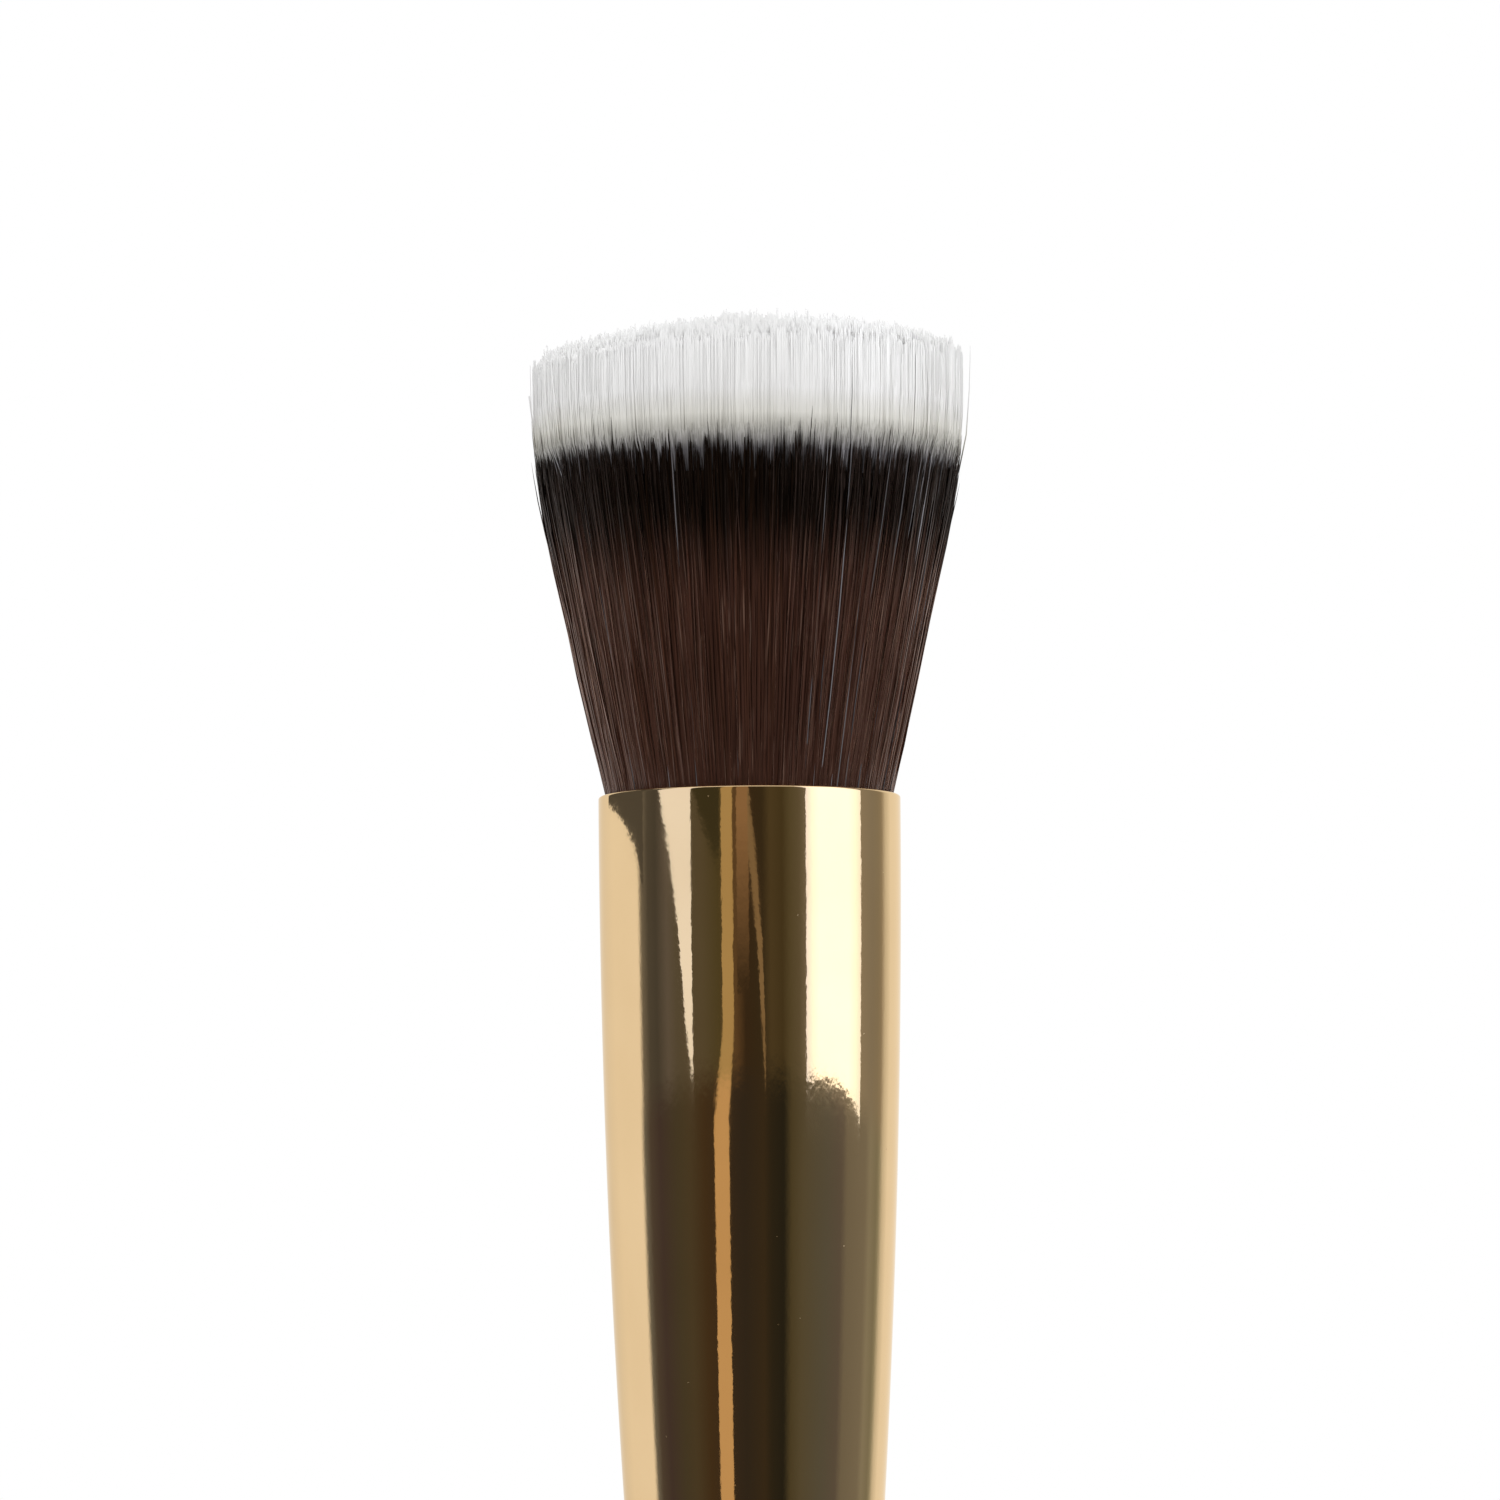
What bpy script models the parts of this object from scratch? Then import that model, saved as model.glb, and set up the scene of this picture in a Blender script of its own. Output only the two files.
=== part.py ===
"""Stippling brush: a flat-topped duo-fibre head in a gold ferrule on a turned wooden handle.

Metres, +Z up. The brush stands on the flat end of its handle, bristles up, with its axis on Z.
The origin is the centre of that flat end.
"""

import math
import random

import bmesh
import bpy
from mathutils import Vector

# Handle
handle_length = 0.0860
foot_diameter = 0.0150
foot_edge_radius = 0.0011
waist_diameter = 0.0092
waist_height = 0.0310
shoulder_radius = 0.0004
tenon_chamfer = 0.0014

# Ferrule
ferrule_length = 0.0560
ferrule_mouth_diameter = 0.0200
ferrule_end_diameter = 0.0158
ferrule_wall = 0.0004
ferrule_lip_radius = 0.00012
crimp_count = 2
crimp_pitch = 0.0032
crimp_from_end = 0.0024
crimp_depth = 0.00045
crimp_width = 0.0018

# Fibre head, with its heights measured up from the ferrule's mouth
head_height = 0.0315
head_diameter = 0.0292
flare_height = 0.0195
flare_diameter = 0.0274
dark_fibre_height = 0.0222
white_spread_height = 0.0258
dome_sag = 0.0025
edge_drop = 0.0012
tip_unevenness = 0.0005

# Inside the ferrule: the roots of the fibres, the glue, and the air space down to the tenon
slice_depth = 0.0015
slice_thickness = 0.0022
strand_embedding = 0.0008
root_length = 0.0120
thread_diameter = 0.0005
thread_pitch = 0.0011
thread_turns = 4
thread_groove_margin = 0.0006
glue_length = 0.0080
glue_dish = 0.0012
air_space_length = 0.0080

# Fits, the overrun of the cutters, and the distance within which turned points merge
seat_gap = 0.0003
thread_gap = 0.00015
strand_clearance = 0.00012
cut_overrun = 0.0005
merge_distance = 0.000001

# Counts
round_steps = 36
strand_count = 300
strand_sides = 3
thread_points_per_turn = 16
taper_rows = 9
groove_rows = 4
handle_rows = 10
flare_rows = 6
edge_rows = 3
dish_rows = 3

# Shares: strand radii of the mean pitch of the strands, and the rim band of the head's radius
dark_root_share = 0.40
dark_flare_share = 0.42
dark_tip_share = 0
white_root_share = 0.17
white_flare_share = 0.24
white_spread_share = 0.46
white_tip_share = 0.26
outer_margin_share = 0.12
rounded_rim_share = 0.86

# Places along the axis
shoulder_z = handle_length
ferrule_end_z = shoulder_z + seat_gap
mouth_z = ferrule_end_z + ferrule_length
crown_z = mouth_z + head_height
slice_top_z = mouth_z - slice_depth
slice_bottom_z = slice_top_z - slice_thickness
root_top_z = slice_bottom_z - seat_gap
root_bottom_z = root_top_z - root_length
glue_top_z = root_bottom_z - seat_gap
glue_bottom_z = glue_top_z - glue_length
tenon_top_z = glue_bottom_z - air_space_length

golden_angle = math.pi * (3 - math.sqrt(5))


def new_collection(name):
    made = bpy.data.collections.new(name)
    bpy.context.scene.collection.children.link(made)
    return made


def material(name, colour, roughness, metallic=0.0):
    made = bpy.data.materials.new(name)
    made.use_nodes = True
    made.diffuse_color = (*colour, 1.0)
    shader = made.node_tree.nodes["Principled BSDF"]
    shader.inputs["Base Color"].default_value = (*colour, 1.0)
    shader.inputs["Roughness"].default_value = roughness
    shader.inputs["Metallic"].default_value = metallic
    return made


def add_object(name, data, collection, look=None):
    made = bpy.data.objects.new(name, data)
    collection.objects.link(made)
    if look:
        data.materials.append(look)
    return made


def as_cutter(thing):
    thing.hide_render = True
    thing.display_type = "WIRE"
    return thing


def turned(name, outline, collection, look):
    """A Screw modifier turns an outline of (radius, height) points, listed from the top down."""
    mesh = bpy.data.meshes.new(name)
    points = [(radius, 0, height) for radius, height in outline]
    mesh.from_pydata(points, [(i, i + 1) for i in range(len(points) - 1)], [])
    made = add_object(name, mesh, collection, look)
    screw = made.modifiers.new("turn", "SCREW")
    screw.axis = "Z"
    screw.steps = screw.render_steps = round_steps
    screw.use_merge_vertices = True
    screw.merge_threshold = merge_distance
    return made


def close_ends(thing):
    """Applies the modifiers and fills the two open rings of a turned piece with flat faces."""
    mesh = bpy.data.meshes.new_from_object(thing.evaluated_get(bpy.context.evaluated_depsgraph_get()))
    mesh.name = thing.name
    bm = bmesh.new()
    bm.from_mesh(mesh)
    bmesh.ops.holes_fill(bm, edges=[edge for edge in bm.edges if edge.is_boundary])
    bmesh.ops.recalc_face_normals(bm, faces=bm.faces)
    bm.to_mesh(mesh)
    bm.free()
    thing.modifiers.clear()
    thing.data = mesh


def combine(thing, operation, other):
    boolean = thing.modifiers.new(operation.lower(), "BOOLEAN")
    boolean.operation = operation
    boolean.object = other
    boolean.solver = "EXACT"


def shade_round(thing, sharp_angle=math.radians(35)):
    """Applies the modifiers and shades smooth between the sharp edges."""
    evaluated = thing.evaluated_get(bpy.context.evaluated_depsgraph_get())
    mesh = bpy.data.meshes.new_from_object(evaluated)
    mesh.name = thing.name
    mesh.shade_smooth()
    mesh.set_sharp_from_angle(angle=sharp_angle)
    thing.modifiers.clear()
    thing.data = mesh


def spread(start, end, rows):
    """Evenly spaced values from start to end, both included."""
    return [start + (end - start) * i / rows for i in range(rows + 1)]


# Ferrule: its outside and its bore, which everything inside follows


def crimp_heights():
    return [ferrule_end_z + crimp_from_end + crimp_pitch * i for i in range(crimp_count)]


def ferrule_radius(z):
    """A cylinder at the mouth that tapers more and more, with round crimped grooves near its end."""
    mouth_radius = ferrule_mouth_diameter / 2
    fall = mouth_radius - ferrule_end_diameter / 2
    radius = mouth_radius - fall * ((mouth_z - z) / ferrule_length) ** 2
    for height in crimp_heights():
        offset = (z - height) / (crimp_width / 2)
        if abs(offset) < 1:
            radius -= crimp_depth * (1 + math.cos(math.pi * offset)) / 2
    return radius


def inside_radius(z):
    """The radius of a piece that fits the ferrule's bore with the seat gap."""
    return ferrule_radius(z) - ferrule_wall - seat_gap


def groove_heights():
    """Rows through the crimped grooves, from the top down."""
    rows = []
    for height in reversed(crimp_heights()):
        rows += spread(height + crimp_width / 2, height - crimp_width / 2, groove_rows)
    return rows


def make_ferrule(collection, look):
    grooves = groove_heights()
    heights = spread(mouth_z, grooves[0], taper_rows)[:-1] + grooves + [ferrule_end_z]
    ferrule = turned("ferrule", [(ferrule_radius(z), z) for z in heights], collection, look)
    wall = ferrule.modifiers.new("wall", "SOLIDIFY")
    wall.thickness = ferrule_wall
    wall.offset = -1
    lip = ferrule.modifiers.new("lip", "BEVEL")
    lip.width = ferrule_lip_radius
    lip.segments = 2
    lip.limit_method = "ANGLE"
    lip.angle_limit = math.radians(60)
    shade_round(ferrule)


# Handle


def body_radius(z):
    """Flares from the waist to the foot, and swells from the waist to the ferrule's slope."""
    waist_radius = waist_diameter / 2
    if z <= waist_height:
        share = (waist_height - z) / waist_height
        return waist_radius + (foot_diameter / 2 - waist_radius) * share**2
    length = shoulder_z - waist_height
    top_radius = ferrule_end_diameter / 2
    top_rise = (ferrule_mouth_diameter - ferrule_end_diameter) / ferrule_length * length
    t = (z - waist_height) / length
    swell = t * t * (3 - 2 * t)
    return waist_radius + (top_radius - waist_radius) * swell + top_rise * (t**3 - t**2)


def make_handle(collection, look):
    tenon_radius = inside_radius(ferrule_end_z)
    tenon = [(0, tenon_top_z), (tenon_radius - tenon_chamfer, tenon_top_z)]
    tenon.append((tenon_radius, tenon_top_z - tenon_chamfer))
    tenon += [(min(tenon_radius, inside_radius(z)), z) for z in groove_heights()]
    tenon.append((tenon_radius, shoulder_z))
    shoulder = [(body_radius(shoulder_z) - shoulder_radius, shoulder_z)]
    shoulder.append((body_radius(shoulder_z - shoulder_radius), shoulder_z - shoulder_radius))
    heights = spread(shoulder_z - shoulder_radius, waist_height, handle_rows)[1:]
    heights += spread(waist_height, foot_edge_radius, flare_rows)[1:]
    body = [(body_radius(z), z) for z in heights]
    edge_centre = body_radius(foot_edge_radius) - foot_edge_radius
    for angle in spread(0, math.pi / 2, edge_rows)[1:]:
        reach = foot_edge_radius * math.cos(angle)
        body.append((edge_centre + reach, foot_edge_radius * (1 - math.sin(angle))))
    handle = turned("handle", tenon + shoulder + body + [(0, 0)], collection, look)
    shade_round(handle)


# Fibres: strands that fan out from one backing, on a sunflower pattern


def fan_radius(z):
    """The head's outline: it fills the mouth, flares, and then rises more steeply to its rim."""
    flare_z = mouth_z + flare_height
    rim_z = crown_z - dome_sag - edge_drop
    mouth_radius = inside_radius(mouth_z)
    flare_radius = flare_diameter / 2
    if z < flare_z:
        return mouth_radius + (flare_radius - mouth_radius) * (z - mouth_z) / flare_height
    return flare_radius + (head_diameter / 2 - flare_radius) * (z - flare_z) / (rim_z - flare_z)


def section(place, z, radius_share):
    """The height, distance from the axis and own radius of a strand that keeps its place in the fan."""
    pitch = fan_radius(z) * math.sqrt(math.pi / strand_count)
    return z, place * (fan_radius(z) - outer_margin_share * pitch), radius_share * pitch


def on_strand(low, high, z, clearance):
    """The section at z of the straight stretch between two sections, widened by a clearance."""
    t = (z - low[0]) / (high[0] - low[0])
    wider = clearance / math.cos(math.pi / strand_sides)
    return z, low[1] + (high[1] - low[1]) * t, low[2] + (high[2] - low[2]) * t + wider


def add_strand(bm, angle, sections):
    """A strand lofted through its sections, one side facing out. A last section of no radius is a point."""
    outward = Vector((math.cos(angle), math.sin(angle), 0))
    sideways = Vector((-outward.y, outward.x, 0))
    rings = []
    for z, distance, radius in sections:
        centre = outward * distance + Vector((0, 0, z))
        ring = []
        for i in range(strand_sides if radius else 1):
            turn = math.pi + 2 * math.pi * i / strand_sides
            offset = outward * math.cos(turn) + sideways * math.sin(turn)
            ring.append(bm.verts.new(centre + offset * radius))
        rings.append(ring)
    for lower, upper in zip(rings, rings[1:]):
        for i in range(strand_sides):
            j = (i + 1) % strand_sides
            side = (lower[i], lower[j], upper[j % len(upper)], upper[i % len(upper)])
            bm.faces.new(dict.fromkeys(side))
    bm.faces.new(rings[0][::-1])
    if sections[-1][2]:
        bm.faces.new(rings[-1])


def fibre_places():
    """(angle, place in the fan, is white, unevenness of the tip) for each strand."""
    chance = random.Random(5)
    for i in range(strand_count):
        place = math.sqrt((i + 0.5) / strand_count)
        yield i * golden_angle, place, i % 5 in (0, 2), chance.uniform(-tip_unevenness, tip_unevenness)


def dark_strand(place, unevenness):
    tip_z = mouth_z + dark_fibre_height + unevenness
    return [
        section(place, slice_top_z - strand_embedding, dark_root_share),
        section(place, mouth_z + flare_height, dark_flare_share),
        section(place, tip_z, dark_tip_share),
    ]


def white_strand(place, unevenness):
    beyond = max(0, (place - rounded_rim_share) / (1 - rounded_rim_share))
    tip_z = crown_z - dome_sag * place**2 - edge_drop * beyond**2 + unevenness
    return [
        section(place, root_top_z - strand_embedding, white_root_share),
        section(place, mouth_z + flare_height, white_flare_share),
        section(place, mouth_z + white_spread_height, white_spread_share),
        section(place, tip_z, white_tip_share),
    ]


def strand_set(name, strands, cutters):
    """One hidden object of separate closed strands, each an (angle, sections) pair."""
    bm = bmesh.new()
    for angle, sections in strands:
        add_strand(bm, angle, sections)
    mesh = bpy.data.meshes.new(name)
    bm.to_mesh(mesh)
    bm.free()
    return as_cutter(add_object(name, mesh, cutters))


def make_dark_fibres(collection, cutters, look):
    """The short strands, fused to the slice of glue that the white strands pass through."""
    strands, holes = [], []
    for angle, place, is_white, unevenness in fibre_places():
        if is_white:
            low, high = white_strand(place, unevenness)[:2]
            ends = slice_bottom_z - cut_overrun, slice_top_z + cut_overrun
            holes.append((angle, [on_strand(low, high, z, strand_clearance) for z in ends]))
        else:
            strands.append((angle, dark_strand(place, unevenness)))
    outline = [(inside_radius(z), z) for z in (slice_top_z, slice_bottom_z)]
    dark = turned("dark_fibres", outline, collection, look)
    close_ends(dark)
    combine(dark, "DIFFERENCE", strand_set("white_strand_holes", holes, cutters))
    combine(dark, "UNION", strand_set("dark_strands", strands, cutters))


def thread_circle():
    """The radius of the thread's centre line, and the bottom and top of its groove."""
    wound_length = thread_pitch * thread_turns
    middle = (root_top_z + root_bottom_z) / 2
    half_groove = wound_length / 2 + thread_diameter / 2 + thread_groove_margin
    low, high = middle - half_groove, middle + half_groove
    return inside_radius(low) - thread_diameter / 2, low, high


def make_white_fibres(collection, cutters, look):
    """The long strands, fused to the root block, which has a groove for the binding thread."""
    strands = []
    for angle, place, is_white, unevenness in fibre_places():
        if is_white:
            strands.append((angle, white_strand(place, unevenness)))
    radius, low, high = thread_circle()
    chord_radius = radius * math.cos(math.pi / thread_points_per_turn)
    floor_radius = chord_radius - thread_diameter / 2 - thread_gap
    outline = [(inside_radius(z), z) for z in (root_top_z, high)]
    outline += [(floor_radius, high), (floor_radius, low)]
    outline += [(inside_radius(z), z) for z in (low, root_bottom_z)]
    white = turned("white_fibres", outline, collection, look)
    close_ends(white)
    combine(white, "UNION", strand_set("white_strands", strands, cutters))


def make_binding_thread(collection, look):
    """Turns of thread in the root block's groove, as one unbroken tube."""
    radius, low, high = thread_circle()
    bottom = (low + high - thread_pitch * thread_turns) / 2
    count = thread_turns * thread_points_per_turn + 1
    points = []
    for i in range(count):
        turn = i / thread_points_per_turn
        angle = 2 * math.pi * turn
        height = bottom + thread_pitch * turn
        points.append(Vector((radius * math.cos(angle), radius * math.sin(angle), height)))
    curve = bpy.data.curves.new("binding_thread", "CURVE")
    curve.dimensions = "3D"
    curve.bevel_depth = thread_diameter / 2
    curve.bevel_resolution = 1
    curve.use_fill_caps = True
    spline = curve.splines.new("POLY")
    spline.points.add(count - 1)
    for place, point in zip(spline.points, points):
        place.co = (*point, 1)
    add_object("binding_thread", curve, collection, look)
    half_turn = thread_points_per_turn // 2
    gaps = [(points[i] - points[j]).length for i in range(count) for j in range(i + half_turn, count)]
    print(f"binding_thread: least gap between its turns {(min(gaps) - thread_diameter) * 1000:.2f} mm")


def make_glue_plug(collection, look):
    """The glue behind the root block, with the dished surface that it set with."""
    side = inside_radius(glue_bottom_z)
    outline = [(0, glue_top_z), (inside_radius(glue_top_z), glue_top_z)]
    for share in spread(1, 0, dish_rows):
        outline.append((side * share, glue_bottom_z + glue_dish * (1 - share**2)))
    shade_round(turned("glue_plug", outline, collection, look))


def main():
    for thing in list(bpy.data.objects):
        bpy.data.objects.remove(thing, do_unlink=True)
    parts = new_collection("stippling_brush")
    cutters = new_collection("cutters")
    make_handle(parts, material("black_lacquer", (0.012, 0.011, 0.011), 0.16))
    make_ferrule(parts, material("polished_gold", (0.86, 0.66, 0.38), 0.12, 1.0))
    make_dark_fibres(parts, cutters, material("dark_fibre", (0.040, 0.019, 0.013), 0.55))
    make_white_fibres(parts, cutters, material("white_fibre", (0.84, 0.83, 0.80), 0.50))
    make_binding_thread(parts, material("thread", (0.62, 0.55, 0.42), 0.85))
    make_glue_plug(parts, material("set_glue", (0.70, 0.58, 0.34), 0.30))


main()
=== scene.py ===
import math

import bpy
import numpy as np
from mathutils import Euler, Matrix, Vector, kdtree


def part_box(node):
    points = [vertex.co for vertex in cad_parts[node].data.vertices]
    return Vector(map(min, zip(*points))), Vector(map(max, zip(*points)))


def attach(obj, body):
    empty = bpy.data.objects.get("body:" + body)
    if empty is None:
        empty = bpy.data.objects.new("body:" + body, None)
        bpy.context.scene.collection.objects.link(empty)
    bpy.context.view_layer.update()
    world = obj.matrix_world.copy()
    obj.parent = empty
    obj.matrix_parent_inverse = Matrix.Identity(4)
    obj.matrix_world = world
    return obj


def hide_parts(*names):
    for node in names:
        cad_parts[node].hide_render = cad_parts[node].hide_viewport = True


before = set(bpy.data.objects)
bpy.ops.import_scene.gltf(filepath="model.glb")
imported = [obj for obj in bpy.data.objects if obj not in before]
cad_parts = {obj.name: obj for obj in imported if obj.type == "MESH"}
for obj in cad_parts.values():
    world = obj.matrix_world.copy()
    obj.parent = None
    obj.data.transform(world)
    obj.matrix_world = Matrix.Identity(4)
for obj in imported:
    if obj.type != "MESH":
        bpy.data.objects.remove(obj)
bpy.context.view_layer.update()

# Looks of the stippling brush, in metres in the frame of the part: its axis on Z, its foot at z 0.
# Thousands of tapered fibres take the place of the strands of the head, finely turned surfaces take
# the place of the faceted ferrule and handle, and every piece gets a finish made of nodes.

# Ferrule and handle, as in the solids
foot_diameter = 0.0150
foot_edge_radius = 0.0011
shoulder_height = 0.0860
waist_diameter = 0.0092
waist_height = 0.0310
shoulder_radius = 0.0004
tenon_chamfer = 0.0014
ferrule_mouth_diameter = 0.0200
ferrule_end_diameter = 0.0158
ferrule_wall = 0.0004
ferrule_lip_radius = 0.00018
crimp_count = 2
crimp_pitch = 0.0032
crimp_from_end = 0.0024
crimp_depth = 0.00045
crimp_width = 0.0018
seat_gap = 0.0003
sharp_edge_step = 0.00004
merge_distance = 0.000001

# Roots of the fibres and the thread round them
slice_depth = 0.0015
strand_embedding = 0.0008
root_depth = 0.0160
thread_diameter = 0.0005
thread_pitch = 0.0011
thread_turns = 4
thread_groove_margin = 0.0006
thread_gap = 0.00015

# Head, with heights above the mouth
fill_radius = 0.00955
flare_slope = 0.2135
ease_start = 0.0185
ease_length = 0.0085
crown_height = 0.0314
dome_sag = 0.0021
edge_drop = 0.0006
rounded_rim_share = 0.90
higher_side_rise = 0.0004
wider_side_share = 0.006
dark_height = 0.0216
dark_lean = -0.00035
dark_crown_rise = 0.0012
tuck_heights = (0.0171, 0.0231)
inner_share = 0.968

# The two packed bodies behind the fibres
packed_dark_share, packed_white_share = 0.977, 0.987
packed_below_dark_tips = 0.0015
packed_below_white_tips = 0.0007
packed_edge = 0.0008

# Places along the axis, from the solids
shoulder_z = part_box("handle")[0].z + shoulder_height
ferrule_end_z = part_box("ferrule")[0].z
mouth_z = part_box("ferrule")[1].z
tenon_top_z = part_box("handle")[1].z
slice_top_z = mouth_z - slice_depth
root_z = slice_top_z - strand_embedding
root_bottom_z = mouth_z - root_depth
thread_low_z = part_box("binding_thread")[0].z
thread_high_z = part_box("binding_thread")[1].z

# The map OFBake of the fibres: columns of shade from left to right, of which a fibre fills a part,
# and the height from below the roots to above the tips
shade_count = 256
column_fill = 0.8
cap_tilt = 0.002
map_below_roots, map_above_mouth = 0.0005, 0.0345
bake_low_z = root_z - map_below_roots
bake_high_z = mouth_z + map_above_mouth

fibre_sides = 3
golden_angle = math.pi * (3 - math.sqrt(5))
millimetres = 1000.0


# Meshes


def add_object(name, data, look=None):
    made = bpy.data.objects.new(name, data)
    bpy.context.scene.collection.objects.link(made)
    if look:
        data.materials.append(look)
    return made


def add_mesh(name, points, faces, look, edges=()):
    mesh = bpy.data.meshes.new(name)
    mesh.from_pydata(points, edges, faces)
    return add_object(name, mesh, look)


def as_piece(thing, slot, *nodes):
    """The piece rides on the brush's one body, and stands for the solids of these nodes."""
    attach(thing, "root")
    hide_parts(*nodes)


def spread(start, end, rows):
    """Evenly spaced values from start to end, both included."""
    return [start + (end - start) * i / rows for i in range(rows + 1)]


def arc(centre, radius, start, end, rows):
    """Points of a round edge in the (radius, height) plane, with the angles in degrees."""
    points = []
    for angle in spread(math.radians(start), math.radians(end), rows):
        points.append((centre[0] + radius * math.cos(angle), centre[1] + radius * math.sin(angle)))
    return points


def turned(name, outline, look, steps, closed=False):
    """A surface turned round the axis from an outline of (radius, height) points."""
    count = len(outline)
    edges = [(i, (i + 1) % count) for i in range(count if closed else count - 1)]
    points = [(radius, 0, height) for radius, height in outline]
    made = add_mesh(name, points, [], look, edges)
    screw = made.modifiers.new("turn", "SCREW")
    screw.axis = "Z"
    screw.steps = screw.render_steps = steps
    screw.use_merge_vertices = True
    screw.merge_threshold = merge_distance
    screw.use_smooth_shade = True
    screw.use_normal_calculate = True
    evaluated = made.evaluated_get(bpy.context.evaluated_depsgraph_get())
    made.data = bpy.data.meshes.new_from_object(evaluated)
    made.data.name = name
    made.modifiers.clear()
    return made


def shade_map(levels, quads, ends, columns):
    """The corners of all faces in the map OFBake, as one row of numbers.

    An end's corners share one level there, so the middle one is moved to give its face an area.
    """
    count, sides = ends[0].shape
    left = np.repeat(columns, len(quads) // count) / shade_count
    right = left + column_fill / shade_count
    across = np.stack([left, left, right, right], axis=-1).ravel()
    corners = [np.stack([across, levels[quads].ravel()], axis=-1)]
    for end, tilt in zip(ends, (-cap_tilt, cap_tilt)):
        side = np.repeat(columns, sides) + np.tile(np.linspace(0, column_fill, sides), count)
        tilted = levels[end] + tilt * (np.arange(sides) == sides // 2)
        corners.append(np.stack([side / shade_count, tilted.ravel()], axis=-1))
    return np.concatenate(corners).astype(np.float32).ravel()


def strands(name, lines, radii, sides, look, turned_by=0, columns=None):
    """Closed strands in one mesh, lofted through lines of shape (strands, rings, 3).

    Each strand turns one face away from the axis, give or take the angles turned_by. Fibres keep their
    few faces flat. With columns, the map OFBake gives each strand its column of shade and the height.
    """
    count, rings = lines.shape[:2]
    along = np.gradient(lines, axis=1)
    along /= np.linalg.norm(along, axis=2, keepdims=True)
    sideways = np.cross(along, lines * np.array([1, 1, 0]))
    sideways /= np.linalg.norm(sideways, axis=2, keepdims=True)
    outward = np.cross(sideways, along)
    turns = np.pi * (2 * np.arange(sides) + 1) / sides + np.broadcast_to(turned_by, count)[:, None]
    turns = turns[:, None, :, None]
    offsets = np.cos(turns) * outward[:, :, None] + np.sin(turns) * sideways[:, :, None]
    points = lines[:, :, None] + offsets * radii[:, :, None, None]
    index = np.arange(count * rings * sides).reshape(count, rings, sides)
    following = np.roll(index, -1, axis=2)
    low, high = index[:, :-1], index[:, 1:]
    quads = np.stack([low, high, following[:, 1:], following[:, :-1]], axis=-1).reshape(-1, 4)
    bottoms, tops = index[:, 0], index[:, -1, ::-1]
    faces = quads.tolist() + bottoms.tolist() + tops.tolist()
    made = add_mesh(name, points.reshape(-1, 3).tolist(), faces, look)
    if columns is not None:
        levels = (points[..., 2].ravel() - bake_low_z) / (bake_high_z - bake_low_z)
        corners = shade_map(levels, quads, (bottoms, tops), columns)
        made.data.uv_layers.new(name="OFBake").data.foreach_set("uv", corners)
    if sides > fibre_sides:
        made.data.shade_smooth()
    return made


# Nodes


def new_material(name):
    made = bpy.data.materials.new(name)
    made.use_nodes = True
    made.node_tree.nodes.clear()
    return made, made.node_tree


def add_node(tree, kind, inputs=None, **settings):
    """A shader node with its settings and inputs, each a value or the socket that feeds it."""
    node = tree.nodes.new("ShaderNode" + kind)
    for key, value in settings.items():
        setattr(node, key, value)
    for key, value in (inputs or {}).items():
        if isinstance(value, bpy.types.NodeSocket):
            tree.links.new(value, node.inputs[key])
        else:
            node.inputs[key].default_value = value
    return node


def finish_material(tree, shader):
    add_node(tree, "OutputMaterial", {"Surface": shader.outputs[0]})


def material(surface):
    """A material named after the function that gives its Principled shader's inputs."""
    made, tree = new_material(surface.__name__)
    finish_material(tree, add_node(tree, "BsdfPrincipled", surface(tree)))
    return made


def maths(tree, operation, first, second=0.0, third=0.0):
    inputs = {0: first, 1: second, 2: third}
    return add_node(tree, "Math", inputs, operation=operation).outputs[0]


def vector_maths(tree, operation, first, second=(0, 0, 0)):
    inputs = {0: first, 1: second}
    return add_node(tree, "VectorMath", inputs, operation=operation).outputs[0]


def stretch(tree, value, from_low, from_high, to_low=0.0, to_high=1.0):
    """A value carried from one range over to another, and kept within it."""
    inputs = {"Value": value, "From Min": from_low, "From Max": from_high}
    inputs |= {"To Min": to_low, "To Max": to_high}
    return add_node(tree, "MapRange", inputs).outputs["Result"]


def blend(tree, share, first, second):
    """Two colours mixed by a share. Each is a socket or (red, green, blue)."""
    first, second = [(*c, 1.0) if isinstance(c, tuple) else c for c in (first, second)]
    return add_node(tree, "Mix", {0: share, 6: first, 7: second}, data_type="RGBA").outputs[2]


def coordinates(tree, kind="Object"):
    return add_node(tree, "TexCoord").outputs[kind]


def axes(tree, vector):
    """The X, Y and Z of a vector."""
    return add_node(tree, "SeparateXYZ", {"Vector": vector}).outputs


def place(tree, upwards=1.0):
    """Places on the object, which draw a pattern out upwards where that number is below 1."""
    inputs = {"Vector": coordinates(tree), "Scale": (1, 1, upwards)}
    return add_node(tree, "Mapping", inputs).outputs[0]


def noise(tree, vector, scale, detail, roughness=0.5):
    inputs = {"Vector": vector, "Scale": scale, "Detail": detail, "Roughness": roughness}
    return add_node(tree, "TexNoise", inputs).outputs["Fac"]


def bump(tree, height, strength, distance):
    inputs = {"Height": height, "Strength": strength, "Distance": distance}
    return add_node(tree, "Bump", inputs).outputs["Normal"]


# Finishes, as functions that give the inputs of a Principled shader, and their helpers

# Heights above the mouth, in millimetres, over which the colours of the fibres change; the
# white's pale, cream and grey are painted shade
brown_to_black = (12.4, 17.4)
black_stray = 1.3
painted_grey_to_cream = (21.5, 23.8)
painted_cream_to_pale = (23.0, 25.4)
painted_pale_to_white = (24.6, 28.8)


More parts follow.
